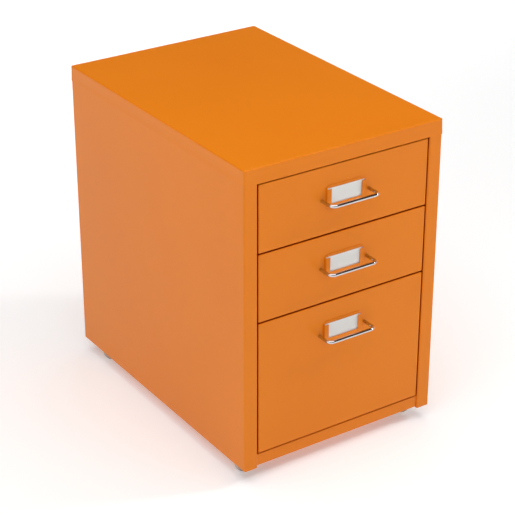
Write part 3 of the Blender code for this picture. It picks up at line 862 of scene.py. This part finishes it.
def make_label_holder(level):
    """A pressed pocket: a back plate with lips folded round both sides and the foot."""
    node = f"{level}_drawer_label_holder"
    low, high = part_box(node)
    above = high.z + HOLDER_CORNER
    back = high.y - HOLDER_SHEET
    outside = rounded_rectangle((low.x, low.z), (high.x, high.z), HOLDER_CORNER)
    holder = outline_slab(f"{node}_sheet", outside, low.y, high.y)
    round_front_edges(holder, low.y, HOLDER_BEND)
    inner = Vector((low.x + HOLDER_SHEET, low.y + HOLDER_SHEET, low.z + HOLDER_SHEET))
    pocket = rounded_rectangle(
        (inner.x, inner.z),
        (-inner.x, above + HOLDER_CORNER),
        HOLDER_CORNER - HOLDER_SHEET,
    )
    cut(holder, outline_slab("pocket", pocket, inner.y, back))
    window = rounded_rectangle(
        (low.x + HOLDER_LIP, low.z + HOLDER_LIP),
        (high.x - HOLDER_LIP, above),
        HOLDER_WINDOW_CORNER,
        SMALL_STEPS,
    )
    cut(holder, outline_slab("window", window, low.y - SHEET, back))
    drop_low = (low.x - SHEET, low.y - SHEET, high.z - HOLDER_DROP)
    cut(holder, block(drop_low, (high.x + SHEET, back, above)))
    bevel(holder, HOLDER_CUT_EDGE, CUT_EDGE_STEPS, CUT_EDGE_ANGLE)
    smooth(holder)
    stands_for(holder, node, PAINT)


def make_card(level):
    """The blank card in the holder, very slightly bowed."""
    node = f"{level}_drawer_label_card"
    low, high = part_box(node)
    outline = rounded_rectangle((low.x, low.z), (high.x, high.z), CARD_CORNER, SMALL_STEPS)
    card = outline_slab(f"{node}_paper", outline, low.y, high.y)
    bm = bmesh.new()
    bm.from_mesh(card.data)
    for i in range(1, CARD_STRIPS):
        x = low.x + (high.x - low.x) * i / CARD_STRIPS
        slice_at(bm, (x, 0, 0), (1, 0, 0))
    half = (high.x - low.x) / 2
    for vert in bm.verts:
        vert.co.y -= CARD_BOW * (1 - (vert.co.x / half) ** 2)
    bm.to_mesh(card.data)
    bm.free()
    smooth(card)
    stands_for(card, node, CARD)


def make_file_rail(end):
    """A cross rail that hanging files sit on, folded over like an upturned channel."""
    node = f"file_rail_{end}"
    low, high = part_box(node)
    path = [(high.y, low.z), (high.y, high.z), (low.y, high.z), (low.y, low.z)]
    rail = folded(f"{node}_steel", path, low.x, high.x, "X")
    thicken(rail)
    steel(rail, node)


# Castors


def make_castor_plate(corner):
    """The fixing plate with its four holes, the raised race under it, and the fork's rivet."""
    node = f"castor_plate_{corner}"
    low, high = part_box(node)
    centre = (low + high) / 2
    half = (high.x - low.x) / 2
    top = Matrix.Translation((centre.x, centre.y, high.z))
    outline = rounded_rectangle((-half, -half), (half, half), PLATE_CORNER)
    plate = outline_slab(f"{node}_steel", outline, 0, PLATE_THICK)
    plate.data.transform(top @ Matrix.Rotation(-math.pi / 2, 4, "X"))
    inset = half - PLATE_HOLE_INSET
    for sx in (-1, 1):
        for sy in (-1, 1):
            place = (centre.x + sx * inset, centre.y + sy * inset, high.z)
            cut(plate, rod(PLATE_HOLE, place, (0, 0, 1), 3 * PLATE_THICK))
    foot = -PLATE_THICK - RACE_TALL
    head = foot - FORK_SHEET - 2 * GAP
    profile = [(0, -PLATE_THICK / 2), (RACE_RADIUS, -PLATE_THICK / 2)]
    for x, y in arc(RACE_ROUND, 0, 90):
        profile.append((RACE_RADIUS - RACE_ROUND + x, foot + RACE_ROUND - y))
    profile += [(KINGPIN_RADIUS, foot), (KINGPIN_RADIUS, head)]
    for x, y in arc(1, 0, 90)[:-1]:
        profile.append((KINGPIN_HEAD_RADIUS * x, head - KINGPIN_HEAD_TALL * y))
    profile.append((0, head - KINGPIN_HEAD_TALL))
    cut(plate, turned("rivet", profile, (centre.x, centre.y, high.z)), "UNION")
    steel(plate, node)


def make_castor_fork(corner, side):
    """A channel folded over the wheel, its arms narrowing down to the axle."""
    node = f"castor_fork_{corner}"
    low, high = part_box(node)
    axle = middle_of(f"castor_axle_{corner}")
    pin = middle_of(f"castor_plate_{corner}")
    fork = open_tray(f"{node}_steel", low, high, (0, 0, -1), (1, 0, 0), (-1, 0, 0))
    bevel(fork, FORK_BEND, BEND_STEPS)
    thicken(fork, FORK_SHEET)
    outer, inner = (high.x, low.x) if side > 0 else (low.x, high.x)
    shoulder = high.z - FORK_SHOULDER
    top = high.z + SHEET
    outline = [(inner, shoulder), (inner, top), (outer, top), (outer, shoulder)]
    for x, z in arc(FORK_FOOT_RADIUS, *FORK_FOOT_ARC, FORK_FOOT_STEPS):
        outline.append((axle.x + side * x, axle.z + z))
    cut(fork, outline_slab("shape", outline, low.y - SHEET, high.y + SHEET), "INTERSECT")
    pin_hole = rod(KINGPIN_RADIUS + GAP, (pin.x, pin.y, high.z), (0, 0, 1), 4 * FORK_SHEET, ROUND)
    cut(fork, pin_hole)
    cut(fork, rod(AXLE_RADIUS + GAP, axle, (0, 1, 0), 4 * (high.y - low.y), ROUND))
    steel(fork, node)


def make_castor_axle(corner):
    """A rivet through both arms of the fork, domed at each end."""
    node = f"castor_axle_{corner}"
    low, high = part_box(node)
    top = (high.y - low.y) / 2
    head = (high.z - low.z) / 2
    dome = [(head * x, top - AXLE_HEAD_TALL * (1 - y)) for x, y in arc(1, 90, 0)]
    half = [(0, top)] + dome[1:] + [(AXLE_RADIUS, top - AXLE_HEAD_TALL)]
    profile = half + [(radius, -height) for radius, height in reversed(half)]
    axle = turned(f"{node}_steel", profile, (low + high) / 2, (0, 1, 0))
    smooth(axle)
    stands_for(axle, node, ZINC)


def make_castor_wheel(corner):
    """A moulded wheel: a rounded tread, a dished face on each side, and a hub round the axle."""
    node = f"castor_wheel_{corner}"
    low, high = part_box(node)
    half = (high.y - low.y) / 2
    radius = (high.z - low.z) / 2
    face = [
        (AXLE_RADIUS + GAP, half),
        (HUB_RADIUS, half),
        (DISH_RADIUS, half - DISH_DEPTH),
        (radius - RIM_FOOT_INSET, half - RIM_FOOT_DEPTH),
        (radius - RIM_TOP_INSET, half - RIM_TOP_DEPTH),
        (radius - RIM_EDGE_INSET, half),
    ]
    for x, y in arc(TREAD_ROUND, 90, 0):
        face.append((radius - TREAD_ROUND + x, half - TREAD_ROUND + y))
    profile = face + [(r, -h) for r, h in reversed(face)]
    wheel = turned(f"{node}_nylon", profile, (low + high) / 2, (0, 1, 0))
    smooth(wheel)
    stands_for(wheel, node, NYLON)


# Stage


def make_floor():
    """A square of white floor round the cabinet."""
    bm = bmesh.new()
    bmesh.ops.create_grid(
        bm, x_segments=FLOOR_SQUARES, y_segments=FLOOR_SQUARES, size=FLOOR_HALF
    )
    floor = object_from(bm, "studio_floor")
    floor.data.materials.append(floor_material())


def area_light(name, place, target, size, watts, spread=180):
    """A softbox. One with a narrow spread lights only what it faces, as through a grid."""
    data = bpy.data.lights.new(name, "AREA")
    data.shape = "RECTANGLE"
    data.size, data.size_y = size
    data.energy = watts
    data.spread = math.radians(spread)
    light = bpy.data.objects.new(name, data)
    light.location = place
    ahead = Vector(target) - Vector(place)
    light.rotation_euler = ahead.to_track_quat("-Z", "Y").to_euler()
    bpy.context.scene.collection.objects.link(light)


def make_lights():
    """A softbox overhead, a small key, a fill from the left, and four that light only the floor."""
    for light in LIGHTS:
        area_light(*light)
    for name, x, y, size, watts in FLOOR_LIGHTS:
        place = (x, y, FLOOR_LIGHT_TALL)
        area_light(name, place, (x, y, 0), size, watts, FLOOR_LIGHT_SPREAD)


def make_world():
    """The room round the stage: pale near the horizon and dark above."""
    world = bpy.data.worlds.new("studio")
    world.use_nodes = True
    tree = world.node_tree
    sky = tree.nodes["Background"]
    place = tree.nodes.new("ShaderNodeTexCoord")
    split = tree.nodes.new("ShaderNodeSeparateXYZ")
    tree.links.new(place.outputs["Generated"], split.inputs["Vector"])
    fade = tree.nodes.new("ShaderNodeMapRange")
    fade.interpolation_type = "SMOOTHSTEP"
    fade.inputs["From Min"].default_value, fade.inputs["From Max"].default_value = WORLD_FADE
    fade.inputs["To Min"].default_value = WORLD_PALE
    fade.inputs["To Max"].default_value = WORLD_DARK
    tree.links.new(split.outputs["Z"], fade.inputs["Value"])
    tree.links.new(fade.outputs["Result"], sky.inputs["Color"])
    sky.inputs["Strength"].default_value = 1.0
    bpy.context.scene.world = world


def make_camera():
    """The best fit of an unshifted camera to the photograph."""
    data = bpy.data.cameras.new("camera")
    data.sensor_width = CAMERA_SENSOR
    data.lens = CAMERA_LENS
    camera = bpy.data.objects.new("camera", data)
    camera.location = CAMERA_PLACE
    camera.rotation_euler = (math.radians(CAMERA_TILT), 0, math.radians(CAMERA_TURN))
    bpy.context.scene.collection.objects.link(camera)
    bpy.context.scene.camera = camera


# Making


def make_carcass():
    make_top_cap()
    for side_name, side in SIDES:
        make_side_panel(side_name, side)
    make_back_panel()
    make_base_panel()


def make_drawers():
    for level in LEVELS:
        make_front(level)
        make_box(level)
        make_handle(level)
        make_label_holder(level)
        make_card(level)
        for side_name, side in SIDES:
            make_screw(level, side_name)
            make_drawer_rail(level, side_name, side)
            make_runner(level, side_name, side)
    for end in ENDS:
        make_file_rail(end)


def make_castors():
    for end in ENDS:
        for side_name, side in SIDES:
            corner = f"{end}_{side_name}"
            make_castor_plate(corner)
            make_castor_fork(corner, side)
            make_castor_axle(corner)
            make_castor_wheel(corner)


def make_stage():
    make_floor()
    make_world()
    make_camera()
    make_lights()
    bpy.context.scene.view_settings.view_transform = "Standard"


make_carcass()
make_drawers()
make_castors()
make_stage()
